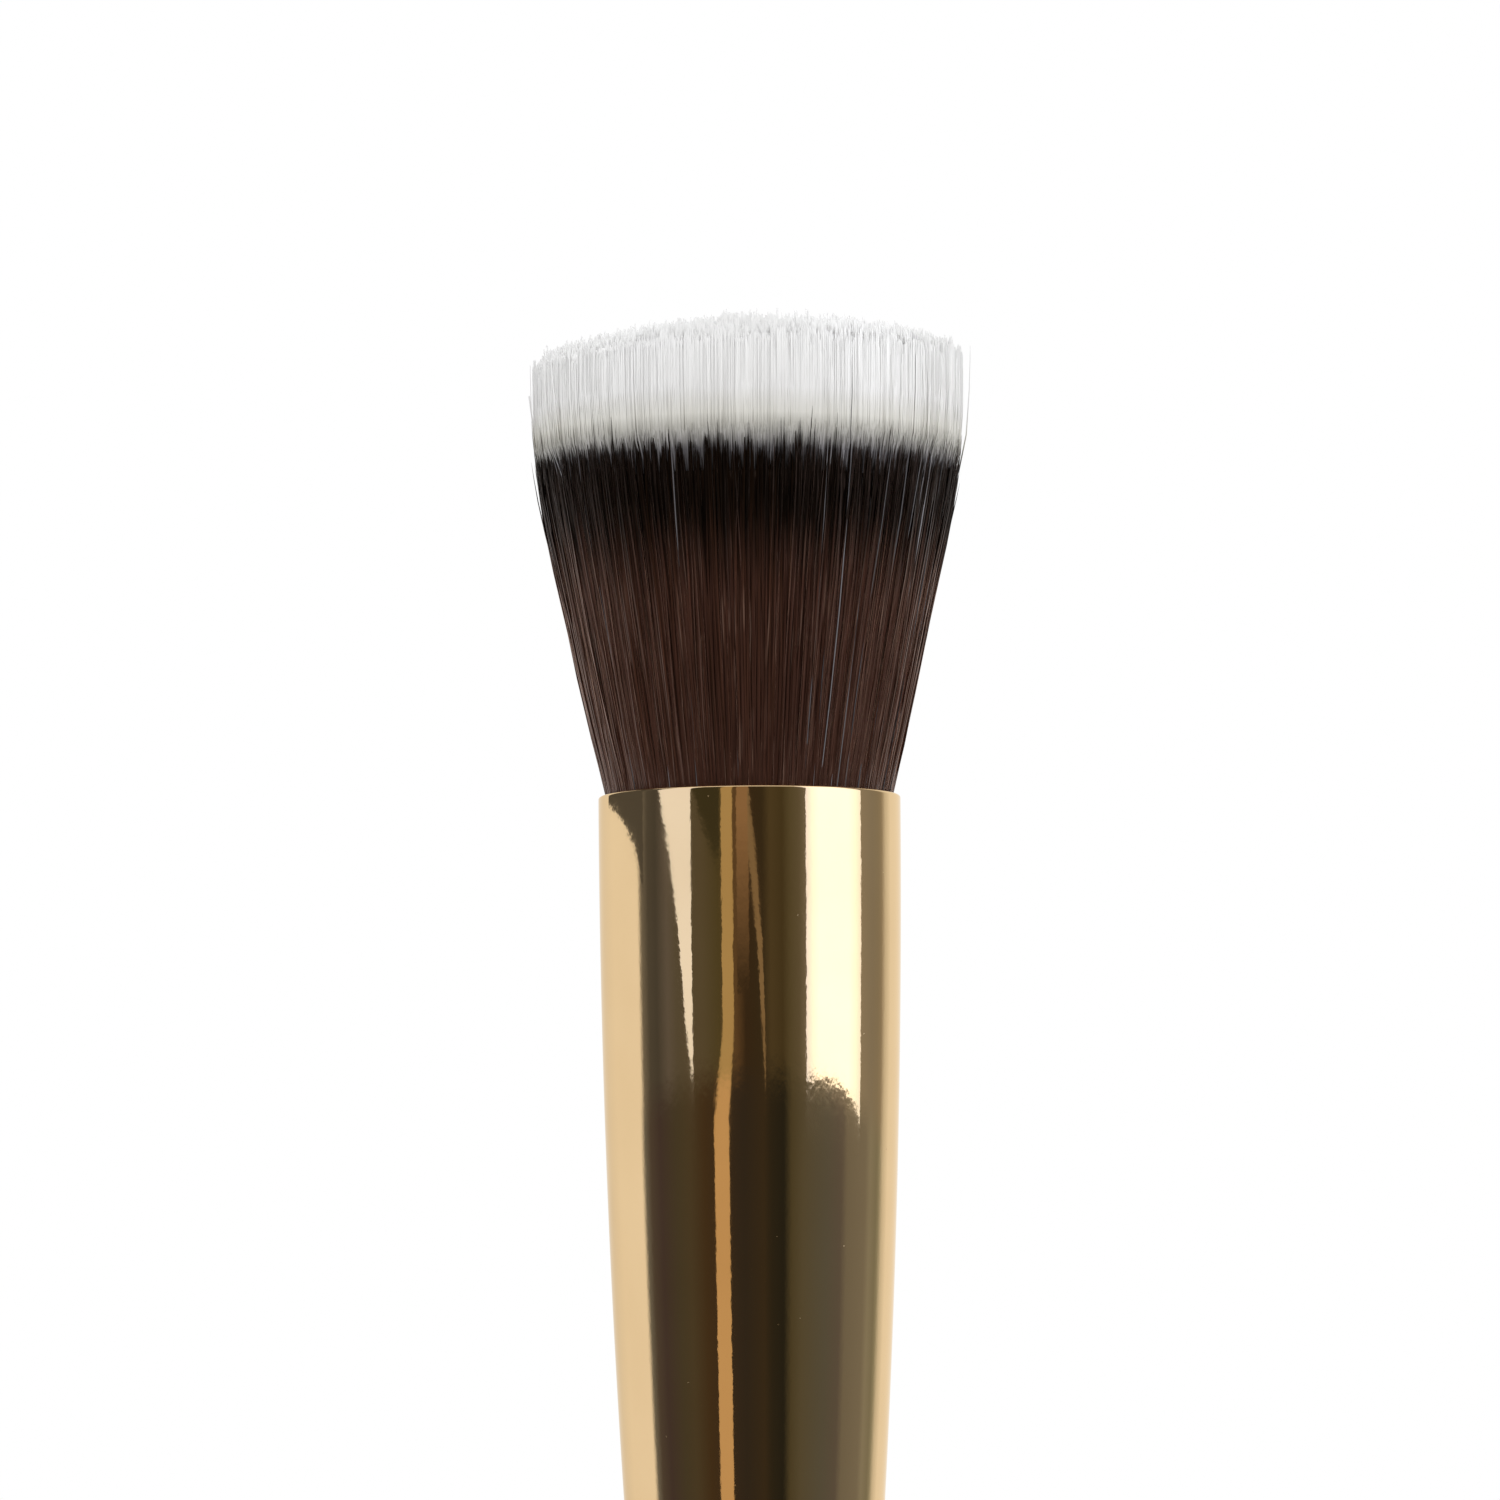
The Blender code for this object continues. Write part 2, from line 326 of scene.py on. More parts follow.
def rare_specks(tree, scale, size, kept_share):
    """1 at small round spots, which only some cells of a random pattern hold, and 0 elsewhere."""
    cells = add_node(tree, "TexVoronoi", {"Vector": place(tree), "Scale": scale}).outputs
    chance = add_node(tree, "SeparateColor", {"Color": cells["Color"]}).outputs[0]
    held = maths(tree, "LESS_THAN", chance, kept_share)
    return maths(tree, "MULTIPLY", held, stretch(tree, cells["Distance"], size, size * 0.5))


def polished_gold(tree):
    """Mirror-bright gold plate with faint draw lines along the tube, a fine grain and rare specks."""
    lines = noise(tree, place(tree, 0.03), scale=5200, detail=3)
    grain = noise(tree, place(tree, 0.45), scale=3000, detail=2)
    cloud = noise(tree, place(tree), scale=160, detail=4)
    specks = rare_specks(tree, scale=700, size=0.05, kept_share=0.16)
    line_relief, speck_roughness = 0.12, 0.35
    light, deep = (0.80, 0.58, 0.327), (0.775, 0.555, 0.308)
    polish = stretch(tree, cloud, 0.3, 0.7, 0.028, 0.055)
    relief = maths(tree, "ADD", maths(tree, "MULTIPLY", lines, line_relief), grain)
    return {
        "Base Color": blend(tree, stretch(tree, cloud, 0.35, 0.7), light, deep),
        "Metallic": 1.0,
        "Roughness": maths(tree, "ADD", polish, maths(tree, "MULTIPLY", specks, speck_roughness)),
        "Specular Tint": (1.0, 0.92, 0.78, 1.0),
        "Normal": bump(tree, relief, strength=0.2, distance=0.00001),
    }


def black_lacquer(tree):
    """Deep gloss lacquer over wood, a little scuffed where the foot meets the table."""
    spot = place(tree)
    grain = noise(tree, place(tree, 0.06), scale=1500, detail=4)
    flow = noise(tree, spot, scale=420, detail=2)
    scuffs = noise(tree, place(tree, 0.4), scale=2600, detail=5, roughness=0.7)
    worn_height = foot_edge_radius * 1.4
    near_foot = stretch(tree, axes(tree, spot)["Z"], worn_height, 0.0)
    wear = maths(tree, "MULTIPLY", near_foot, stretch(tree, scuffs, 0.5, 0.66))
    black, lighter_black = (0.0085, 0.0075, 0.0075), (0.017, 0.0135, 0.012)
    worn = (0.10, 0.075, 0.055)
    tone = blend(tree, stretch(tree, grain, 0.35, 0.75), black, lighter_black)
    return {
        "Base Color": blend(tree, maths(tree, "MULTIPLY", wear, 0.5), tone, worn),
        "Roughness": stretch(tree, wear, 0.0, 1.0, 0.24, 0.5),
        "Specular IOR Level": 0.25,
        "Coat Weight": 0.5,
        "Coat Roughness": 0.04,
        "Normal": bump(tree, flow, strength=0.05, distance=0.00004),
    }


def shade_and_height(tree):
    """The number of a strand's column of shade, and the height above the mouth in millimetres."""
    sheet = axes(tree, add_node(tree, "UVMap", uv_map="OFBake").outputs[0])
    column = maths(tree, "FLOOR", maths(tree, "MULTIPLY", sheet["X"], shade_count))
    span = (bake_high_z - bake_low_z) * millimetres
    start = (bake_low_z - mouth_z) * millimetres
    return column, maths(tree, "MULTIPLY_ADD", sheet["Y"], span, start)


def random_share(tree, column, seed):
    """A random number, 0 to 1, for each column of shade."""
    column_step = 0.317
    number = maths(tree, "MULTIPLY_ADD", column, column_step, seed)
    pattern = add_node(tree, "TexWhiteNoise", {"W": number}, noise_dimensions="1D")
    return pattern.outputs["Value"]


def changing_share(tree, column, height, seed):
    """A random number, 0 to 1, for each column of shade, which drifts along the strand."""
    column_step, height_step = 3.7, 0.16
    across = maths(tree, "MULTIPLY", column, column_step)
    along = maths(tree, "MULTIPLY", height, height_step)
    spot = add_node(tree, "CombineXYZ", {"X": across, "Y": along, "Z": seed}).outputs[0]
    return stretch(tree, noise(tree, spot, scale=1.0, detail=1.0), 0.25, 0.75)


def packed_shades(tree):
    """Streaks as of closely packed strands, 0 to 1, and the height above the mouth in millimetres."""
    streak_rise = 2.0
    spot = coordinates(tree)
    outward = vector_maths(tree, "NORMALIZE", vector_maths(tree, "MULTIPLY", spot, (1, 1, 0)))
    rise = vector_maths(tree, "MULTIPLY", spot, (0, 0, streak_rise))
    streaks = noise(tree, vector_maths(tree, "ADD", outward, rise), scale=60, detail=3)
    above_mouth = maths(tree, "SUBTRACT", axes(tree, spot)["Z"], mouth_z)
    height = maths(tree, "MULTIPLY", above_mouth, millimetres)
    return stretch(tree, streaks, 0.3, 0.7), height


def dark_tone(tree, shade, turn, height):
    """Brown, black, and the share of black, which grows upwards. turn moves that growth in height."""
    moved = maths(tree, "ADD", height, stretch(tree, turn, 0.0, 1.0, -black_stray, black_stray))
    brown = blend(tree, shade, (0.024, 0.0086, 0.0054), (0.049, 0.0187, 0.0124))
    black = blend(tree, shade, (0.0016, 0.0014, 0.0011), (0.0042, 0.0035, 0.0029))
    return brown, black, stretch(tree, moved, *brown_to_black)


def hair(tree, brown, black, blacken):
    """A warm gloss lightens the hair towards the sides of the head, and the brown the most."""
    warm = (1.0, 0.60, 0.44, 1.0)
    return {
        "Base Color": blend(tree, blacken, brown, black),
        "Roughness": 0.30,
        "Specular IOR Level": stretch(tree, blacken, 0.0, 1.0, 0.48, 0.28),
        "Specular Tint": warm,
        "Sheen Weight": stretch(tree, blacken, 0.0, 1.0, 1.0, 0.2),
        "Sheen Roughness": 0.35,
        "Sheen Tint": warm,
    }


def dark_fibre(tree):
    """Brown hair that turns black towards its tip, each strand with its own shade."""
    column, height = shade_and_height(tree)
    shade, turn = changing_share(tree, column, height, seed=1.7), random_share(tree, column, seed=4.1)
    brown, black, blacken = dark_tone(tree, shade, turn, height)
    warmth = stretch(tree, changing_share(tree, column, height, seed=8.3), 0.78, 1.0)
    return hair(tree, blend(tree, warmth, brown, (0.100, 0.057, 0.042)), black, blacken)


def packed_dark(tree):
    """The closely packed brown and black hair under the strands that show."""
    shade, height = packed_shades(tree)
    return hair(tree, *dark_tone(tree, shade, shade, height))


def white_with_painted_shade(tree, shade, height):
    """White with painted shade: pale, then cream, down to the dark tips, and dark grey among them."""
    white = blend(tree, shade, (0.915, 0.915, 0.912), (0.952, 0.952, 0.949))
    # Painted shade: pale, then cream, then dark grey deepen down to and among the dark tips
    pale = blend(tree, stretch(tree, height, *painted_pale_to_white), (0.785, 0.778, 0.770), white)
    cream = blend(tree, stretch(tree, height, *painted_cream_to_pale), (0.64, 0.625, 0.56), pale)
    grey = blend(tree, shade, (0.055, 0.050, 0.053), (0.23, 0.22, 0.235))
    return blend(tree, stretch(tree, height, *painted_grey_to_cream), grey, cream)


def white_fibre(tree):
    """White synthetic fibre, with painted shade down to and among the dark hair it stands in."""
    column, height = shade_and_height(tree)
    return {
        "Base Color": white_with_painted_shade(tree, random_share(tree, column, seed=2.9), height),
        "Roughness": 0.42,
        "Specular IOR Level": 0.3,
    }


def packed_white(tree):
    """The closely packed white fibres under the ones that show, with painted shade between the tips on
    top.
    """
    shade, height = packed_shades(tree)
    upward = axes(tree, coordinates(tree, "Normal"))["Z"]
    # Painted shade: upward faces are darker, as where the depth between the tips lies in shade
    tips = noise(tree, place(tree), scale=5200, detail=2)
    between = blend(tree, stretch(tree, tips, 0.4, 0.6), (0.62, 0.62, 0.62), (0.93, 0.93, 0.925))
    painted_shade_on_top = stretch(tree, upward, 0.8, 0.97)
    return {
        "Base Color": blend(tree, painted_shade_on_top, white_with_painted_shade(tree, shade, height), between),
        "Roughness": 0.6,
        "Specular IOR Level": 0.1,
    }


def set_roots(tree):
    """The roots of the fibres, end on and packed in clear glue."""
    along = place(tree, 0.02)
    cells = add_node(tree, "TexVoronoi", {"Vector": along, "Scale": 6500})
    streak = noise(tree, along, scale=4200, detail=3)
    dark_root, pale_root, glue = (0.075, 0.034, 0.022), (0.30, 0.24, 0.17), (0.34, 0.24, 0.12)
    tone = blend(tree, stretch(tree, streak, 0.3, 0.7), dark_root, pale_root)
    between = stretch(tree, cells.outputs["Distance"], 0.35, 0.6)
    return {
        "Base Color": blend(tree, between, tone, glue),
        "Roughness": stretch(tree, streak, 0.3, 0.7, 0.28, 0.45),
        "Normal": bump(tree, cells.outputs["Distance"], strength=0.25, distance=0.00003),
    }


def waxed_thread(tree):
    """Twisted cream yarn with fine hairs and a little wax."""
    fuzz = noise(tree, place(tree), scale=9000, detail=4)
    shaded, cream = (0.42, 0.35, 0.24), (0.70, 0.63, 0.50)
    return {
        "Base Color": blend(tree, stretch(tree, fuzz, 0.3, 0.7), shaded, cream),
        "Roughness": stretch(tree, fuzz, 0.3, 0.7, 0.6, 0.9),
        "Normal": bump(tree, fuzz, strength=0.4, distance=0.00003),
    }


def amber_glue(tree):
    """Set amber glue with small bubbles and a skin that isn't quite smooth."""
    spot = place(tree)
    cells = add_node(tree, "TexVoronoi", {"Vector": spot, "Scale": 900})
    bubbles = cells.outputs["Distance"]
    flow = noise(tree, spot, scale=260, detail=3)
    amber, pale_amber, bubble = (0.62, 0.46, 0.22), (0.76, 0.64, 0.40), (0.86, 0.80, 0.64)
    tone = blend(tree, stretch(tree, flow, 0.3, 0.7), amber, pale_amber)
    return {
        "Base Color": blend(tree, stretch(tree, bubbles, 0.16, 0.08), tone, bubble),
        "Roughness": stretch(tree, flow, 0.3, 0.7, 0.18, 0.34),
        "Normal": bump(tree, bubbles, strength=0.2, distance=0.0001),
    }


# Ferrule


def crimp_heights():
    return [ferrule_end_z + crimp_from_end + crimp_pitch * i for i in range(crimp_count)]


def crimp_top():
    return crimp_heights()[-1] + crimp_width / 2


def ferrule_radius(z):
    """A cylinder at the mouth that tapers more and more, with round crimped grooves near its end."""
    mouth_radius = ferrule_mouth_diameter / 2
    fall = mouth_radius - ferrule_end_diameter / 2
    radius = mouth_radius - fall * ((mouth_z - z) / (mouth_z - ferrule_end_z)) ** 2
    for height in crimp_heights():
        offset = (z - height) / (crimp_width / 2)
        if abs(offset) < 1:
            radius -= crimp_depth * (1 + math.cos(math.pi * offset)) / 2
    return radius


def inside_radius(z):
    """The radius of a piece that fits the ferrule's bore with the seat gap."""
    return ferrule_radius(z) - ferrule_wall - seat_gap


def lip_centres(z):
    """Centres of the outer and the inner rounding of the tube's lip."""
    outer = ferrule_radius(z) - ferrule_lip_radius
    inner = ferrule_radius(z) - ferrule_wall + ferrule_lip_radius
    return (outer, z), (inner, z)


def make_ferrule(look):
    rows, lip_rows = 60, 6
    top, bottom = mouth_z - ferrule_lip_radius, ferrule_end_z + ferrule_lip_radius
    heights = spread(top - sharp_edge_step, crimp_top(), rows)
    heights += spread(crimp_top(), bottom + sharp_edge_step, rows)[1:]
    outline = [(ferrule_radius(z), z) for z in heights]
    outer, inner = lip_centres(bottom)
    outline += arc(outer, ferrule_lip_radius, 0, -90, lip_rows)
    outline += arc(inner, ferrule_lip_radius, -90, -180, lip_rows)
    outline += [(ferrule_radius(z) - ferrule_wall, z) for z in reversed(heights)]
    outer, inner = lip_centres(top)
    outline += arc(inner, ferrule_lip_radius, 180, 90, lip_rows)
    outline += arc(outer, ferrule_lip_radius, 90, 0, lip_rows)
    tube = turned("ferrule_tube", outline, look, steps=256, closed=True)
    as_piece(tube, "gold_metal", "ferrule")


# Handle


def body_radius(z):
    """Flares from the waist to the foot, and swells from the waist to the ferrule's slope."""
    waist_radius = waist_diameter / 2
    if z <= waist_height:
        share = (waist_height - z) / waist_height
        return waist_radius + (foot_diameter / 2 - waist_radius) * share**2
    length = shoulder_z - waist_height
    top_radius = ferrule_end_diameter / 2
    top_rise = (ferrule_mouth_diameter - ferrule_end_diameter) / (mouth_z - ferrule_end_z) * length
    t = (z - waist_height) / length
    swell = t * t * (3 - 2 * t)
    return waist_radius + (top_radius - waist_radius) * swell + top_rise * (t**3 - t**2)


def make_handle(look):
    chamfer_rows, tenon_rows, shoulder_rows, body_rows, foot_rows = 8, 48, 6, 96, 10
    tenon_radius = inside_radius(ferrule_end_z)
    chamfer_start = tenon_radius - tenon_chamfer
    outline = [(0, tenon_top_z), (chamfer_start - sharp_edge_step, tenon_top_z)]
    outline += arc((chamfer_start, tenon_top_z - tenon_chamfer), tenon_chamfer, 90, 0, chamfer_rows)
    for z in spread(crimp_top(), shoulder_z + sharp_edge_step, tenon_rows):
        outline.append((min(tenon_radius, inside_radius(z)), z))
    outline += [(tenon_radius, shoulder_z), (tenon_radius + sharp_edge_step, shoulder_z)]
    edge = shoulder_z - shoulder_radius
    outline += arc((body_radius(edge) - shoulder_radius, edge), shoulder_radius, 90, 0, shoulder_rows)
    heights = spread(edge - sharp_edge_step, foot_edge_radius + sharp_edge_step, body_rows)
    outline += [(body_radius(z), z) for z in heights]
    centre = body_radius(foot_edge_radius) - foot_edge_radius
    outline += arc((centre, foot_edge_radius), foot_edge_radius, 0, -90, foot_rows)
    outline += [(centre - sharp_edge_step, 0), (0, 0)]
    as_piece(turned("handle_body", outline, look, steps=160), "lacquered_wood", "handle")


# Inside the ferrule


def make_roots(look):
    """The block of glued roots that both kinds of fibre stand in, grooved for the thread."""
    upper_rows, lower_rows, sharp_angle = 6, 4, math.radians(35)
    groove_low, groove_high = thread_low_z - thread_groove_margin, thread_high_z + thread_groove_margin
    floor = inside_radius(groove_low) - thread_diameter - thread_gap * 2
    outline = [(0, slice_top_z)]
    outline += [(inside_radius(z), z) for z in spread(slice_top_z, groove_high, upper_rows)]
    outline += [(floor, groove_high), (floor, groove_low)]
    outline += [(inside_radius(z), z) for z in spread(groove_low, root_bottom_z, lower_rows)]
    outline += [(0, root_bottom_z)]
    block = turned("root_block", outline, look, steps=96)
    block.data.set_sharp_from_angle(angle=sharp_angle)
    as_piece(block, "white_fibre", "dark_fibres", "white_fibres")


def make_thread(look):
    """Three plies twisted into one thread, wound round the roots."""
    plies, ply_radius, ply_sides, twist_length, steps_per_turn = 3, 0.000128, 7, 0.0012, 120
    groove_low = thread_low_z - thread_groove_margin
    wound_radius = inside_radius(groove_low) - thread_diameter / 2
    ply_offset = thread_diameter / 2 - ply_radius
    turns = np.linspace(0, thread_turns, thread_turns * steps_per_turn + 1)
    angle = 2 * np.pi * turns
    middle = (thread_low_z + thread_high_z) / 2
    height = middle + thread_pitch * (turns - thread_turns / 2)
    twist = angle * wound_radius / twist_length
    lines = []
    for i in range(plies):
        phase = twist + 2 * np.pi * i / plies
        reach = wound_radius + ply_offset * np.cos(phase)
        rise = height + ply_offset * np.sin(phase)
        lines.append(np.stack([reach * np.cos(angle), reach * np.sin(angle), rise], axis=-1))
    radii = np.full((plies, len(turns)), ply_radius)
    winding = strands("thread_winding", np.array(lines), radii, ply_sides, look)
    as_piece(winding, "thread", "binding_thread")


# Fibres

# How many fibres there are of each kind, and how many tufts their tips cling together in. The mantle
# keeps only some of the places that it tries.
dark_count, dark_tufts = 5200, 2600
inner_count, mantle_tries, coat_count, white_tufts = 12000, 30000, 5200, 1700

# The form of a fibre: the shares of its height that have a ring, the thickness in the roots and at
# each ring as a share of its radius, and the least and the greatest radius
dark_form = (
    (0, 0.16, 0.32, 0.48, 0.64, 0.78, 0.88, 0.95, 1),
    (1, 1, 1, 1, 1, 1, 0.92, 0.72, 0.42, 0.08),
    (0.000042, 0.000064),
)
inner_form = ((0, 0.62, 0.83, 1), (0.6, 0.6, 0.8, 1, 0.85), (0.000050, 0.000072))
coat_form = (
    (0, 0.53, 0.62, 0.67, 0.72, 0.80, 0.90, 1),
    (0.6, 0.6, 0.7, 0.8, 1, 1, 1, 0.8, 0.45),
    (0.000044, 0.000062),
)


def smooth(value, start, end):
    t = np.clip((value - start) / (end - start), 0, 1)
    return t * t * (3 - 2 * t)


def head_reach(azimuth, height):
    """The head's radius: a straight flare that eases to upright. One side reaches a little further."""
    straight = np.clip(height, 0, ease_start)
    above = np.clip(height - ease_start, 0, ease_length)
    reach = fill_radius + flare_slope * (straight + above - above**2 / (2 * ease_length))
    return reach * (1 + wider_side_share * np.cos(azimuth) * smooth(height, *tuck_heights))


def dome(azimuth, share):
    """The height of the white tips at a share of the head's radius. One side stands a little higher."""
    beyond = np.clip((share - rounded_rim_share) / (1 - rounded_rim_share), 0, 1)
    lean = higher_side_rise * share * np.cos(azimuth)
    return crown_height - dome_sag * share**2 - edge_drop * beyond**2 + lean


def sunflower(count, chance, jitter):
    """(azimuth, share of the radius) of evenly spread places, moved a little at random."""
    order = np.arange(count)
    share = np.sqrt((order + 0.5) / count)
    pitch = math.sqrt(math.pi / count)
    azimuth = order * golden_angle + chance.normal(0, jitter, count) * pitch / np.maximum(share, pitch)
    return azimuth, np.clip(share + chance.normal(0, jitter, count) * pitch, 0, 1)


def gather(azimuth, share, tuft_count, chance):
    """The nearest of the places where tips cling together: its azimuth, share and number."""
    tuft_azimuth, tuft_share = sunflower(tuft_count, chance, jitter=0.3)
    tree = kdtree.KDTree(tuft_count)
    for i, (a, s) in enumerate(zip(tuft_azimuth, tuft_share)):
        tree.insert((s * math.cos(a), s * math.sin(a), 0), i)
    tree.balance()
    nearest = [tree.find((s * math.cos(a), s * math.sin(a), 0))[1] for a, s in zip(azimuth, share)]
    return tuft_azimuth[nearest], tuft_share[nearest], np.array(nearest)


def fan_lines(azimuth, share, tips, rings, hold, tuck, sway, bend, chance):
    """Centre lines of fibres that keep their place in the fan, of shape (fibres, rings + 1, 3).

    rings are shares of the way from the mouth to the tip, and the first point is in the roots. hold is
    (azimuth, share, strength, start) of the tufts that the tips lean to. tuck draws a fibre in towards
    the axis below the dark tips. sway is how far a tip strays from its place, and bend how far the
    fibre wanders below it.
    """
    count = len(azimuth)
    rise = np.broadcast_to(np.array(rings), (count, len(rings)))
    height = tips[:, None] * rise
    foot = np.full((count, 1), root_z - mouth_z)
    height = np.concatenate([foot, height], axis=1)
    rise = np.concatenate([np.zeros((count, 1)), rise], axis=1)
    tuft_azimuth, tuft_share, strength, start = hold
    lean = strength * smooth(rise, start, 1.0)
    x = share * np.cos(azimuth)
    y = share * np.sin(azimuth)
    tuft_x = tuft_share * np.cos(tuft_azimuth)
    tuft_y = tuft_share * np.sin(tuft_azimuth)
    x = x[:, None] + (tuft_x - x)[:, None] * lean
    y = y[:, None] + (tuft_y - y)[:, None] * lean
    tucked = tuck[:, None] * (1 - smooth(height, *tuck_heights))
    reach = head_reach(azimuth[:, None], height) * (1 - tucked)
    stray = chance.normal(0, 1, (count, 2, 1)) * sway[:, None, None] * rise[:, None] ** 2
    for waves, part in ((1, 1.0), (2, 0.6), (3, 0.3)):
        wander = chance.normal(0, bend * part, (count, 2, 1))
        stray = stray + wander * np.sin(waves * np.pi * rise)[:, None]
    x = x * reach + stray[:, 0]
    y = y * reach + stray[:, 1]
    return np.stack([x, y, mouth_z + height], axis=-1)


def add_fibres(name, lines, radii, look, slot, node, chance, parts, turn=0.3):
    """The fibres in a few pieces, with a random shade for every fibre, each turned at random."""
    columns = chance.integers(0, shade_count, len(lines))
    turned_by = chance.normal(0, turn, len(lines))
    for i, own in enumerate(np.array_split(np.arange(len(lines)), parts), 1):
        shape = (lines[own], radii[own], fibre_sides)
        as_piece(strands(f"{name}_{i}", *shape, look, turned_by[own], columns[own]), slot, node)


def coat(count, share, spread_share, chance):
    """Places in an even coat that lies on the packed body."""
    azimuth = np.arange(count) * golden_angle
    return azimuth, share + chance.uniform(-spread_share, spread_share, count)


def mantle(count, start, end, chance):
    """Places in the outer part of the head, denser from start to end, which hide what lies inside."""
    azimuth, share = sunflower(count, chance, jitter=0.45)
    kept = chance.random(count) < smooth(share, start, end)
    return azimuth[kept], share[kept]


def packed_body(name, levels, look, slot, node):
    """A closed body of packed fibres through levels of (share of the radius, height).

    A level whose height is None lies under the dome of the tips.
    """
    columns = 180
    azimuth = np.linspace(0, 2 * np.pi, columns, endpoint=False)
    rows = []
    for share, height in levels:
        if height is None:
            rise = dome(azimuth, share) - packed_below_white_tips
        else:
            rise = np.full(columns, height)
        reach = share * head_reach(azimuth, rise)
        x, y = reach * np.cos(azimuth), reach * np.sin(azimuth)
        rows.append(np.stack([x, y, mouth_z + rise], axis=-1))
    index = np.arange(len(levels) * columns).reshape(-1, columns)
    following = np.roll(index, -1, axis=1)
    quads = np.stack([index[:-1], following[:-1], following[1:], index[1:]], axis=-1)
    faces = quads.reshape(-1, 4).tolist() + [index[0, ::-1].tolist(), index[-1].tolist()]
    made = add_mesh(name, np.concatenate(rows).tolist(), faces, look)
    made.data.shade_smooth()
    as_piece(made, slot, node)


# Levels of the packed white fibres from the dark ones up: (share of the radius, height above the dark
# body), the start of the upright rim above the dark body, (how far inside the rim's share, part of the
# edge's height) round the edge, and shares of the radius on the dome
packed_white_start = (
    (0.86, -0.0015), (0.91, 0.0), (0.94, 0.0014),
    (packed_white_share - 0.026, 0.0028),
    (packed_white_share - 0.008, 0.0042),
)
packed_rim_start = 0.0058
packed_rounding = ((0.006, 0.55), (0.022, 0.9))
packed_dome_shares = (0.90, 0.84, 0.76, 0.62, 0.46, 0.3, 0.15, 0.04)


def make_packed_fibres(dark, white):
    """What shows between the strands: the rest of the bundle, closely packed."""
    dark_rows, rim_rows = 16, 8
    low, border = root_z - mouth_z, dark_height - packed_below_dark_tips
    levels = [(packed_dark_share, height) for height in [low, *spread(0, border, dark_rows)]]
    packed_body("packed_dark_fibres", levels, dark, "dark_fibre", "dark_fibres")
    rim, top = packed_white_share, crown_height - dome_sag - packed_below_white_tips - packed_edge
    levels = [(share, border + rise) for share, rise in packed_white_start]
    levels += [(rim, height) for height in spread(border + packed_rim_start, top, rim_rows)]
    levels += [(rim - less, top + packed_edge * rise) for less, rise in packed_rounding]
    levels += [(share, None) for share in packed_dome_shares]
    packed_body("packed_white_fibres", levels, white, "white_fibre", "white_fibres")


def make_dark_strands(look):
    """Brown and black hair, tapered to fine points that cling together in small tufts."""
    tuft_spread, own_mean, own_spread = 0.00024, 0.00016, 0.00036
    long_share, longest = 0.15, 0.0028
    loose_share, loose_sway, sway, bend = 0.02, 0.00035, 0.00008, 0.00010
    clinging, clinging_start, below_tip_share = 0.4, 0.66, 0.997
    rings, taper, thickness = dark_form
    chance = np.random.default_rng(11)
    azimuth, share = coat(dark_count, share=0.985, spread_share=0.009, chance=chance)
    tuft_azimuth, tuft_share, tuft = gather(azimuth, share, dark_tufts, chance)
    tuft_rise = chance.normal(0, tuft_spread, dark_tufts)[tuft]
    own_rise = chance.normal(own_mean, own_spread, dark_count)
    long_ones = chance.random(dark_count) < long_share
    long_rise = long_ones * chance.random(dark_count) ** 2 * longest
    tips = dark_height + dark_crown_rise * (1 - share**2) + dark_lean * np.cos(azimuth)
    tips += tuft_rise + own_rise + long_rise
    sways = np.where(chance.random(dark_count) < loose_share, loose_sway, sway)
    hold = (tuft_azimuth, tuft_share, clinging, clinging_start)
    place_share, no_tuck = share * below_tip_share, np.zeros(dark_count)
    lines = fan_lines(azimuth, place_share, tips, rings, hold, no_tuck, sways, bend, chance)
    radii = chance.uniform(*thickness, (dark_count, 1)) * np.array(taper)
    add_fibres("dark_strands", lines, radii, look, "dark_fibre", "dark_fibres", chance, parts=2)


def add_white_group(name, places, form, drawn_in, clinging, look, chance, parts):
    """White fibres, whose places are (azimuth, share) of the radius before they are drawn in."""
    tuft_spread, own_spread, tip_lift = 0.00022, 0.00060, 0.0002
    loose_share, loose_sway, sway, bend = 0.02, 0.0004, 0.00003, 0.000006
    clinging_start, least_tuck, most_tuck, turn = 0.86, 0.05, 0.10, 0.07
    azimuth, share = places
    rings, taper, thickness = form
    count = len(azimuth)
    tuft_azimuth, tuft_share, tuft = gather(azimuth, share, white_tufts, chance)
    tuft_rise = chance.normal(0, tuft_spread, white_tufts)[tuft]
    own_rise = -np.abs(chance.normal(0, own_spread, count))
    tips = dome(azimuth, share) + tuft_rise + own_rise + tip_lift
    sways = np.where(chance.random(count) < loose_share, loose_sway, sway)
    hold = (tuft_azimuth, tuft_share, clinging, clinging_start)
    tuck = chance.uniform(least_tuck, most_tuck, count)
    lines = fan_lines(azimuth, share * drawn_in, tips, rings, hold, tuck, sways, bend, chance)
    radii = chance.uniform(*thickness, (count, 1)) * np.array(taper)
    add_fibres(name, lines, radii, look, "white_fibre", "white_fibres", chance, parts, turn)


def make_white_strands(look):
    """White fibres that stand out of the hair and end in a soft, slightly domed top."""
    clinging, coat_clinging = 0.25, 0.06
    chance = np.random.default_rng(23)
    inner = sunflower(inner_count, chance, jitter=0.45)
    outer = mantle(mantle_tries, start=0.90, end=0.96, chance=chance)
    outermost = coat(coat_count, share=0.988, spread_share=0.0006, chance=chance)
    for name, places, parts in (("inner_white_strands", inner, 3), ("outer_white_strands", outer, 1)):
        add_white_group(name, places, inner_form, inner_share, clinging, look, chance, parts)
    add_white_group("white_coat", outermost, coat_form, 1.0, coat_clinging, look, chance, parts=2)


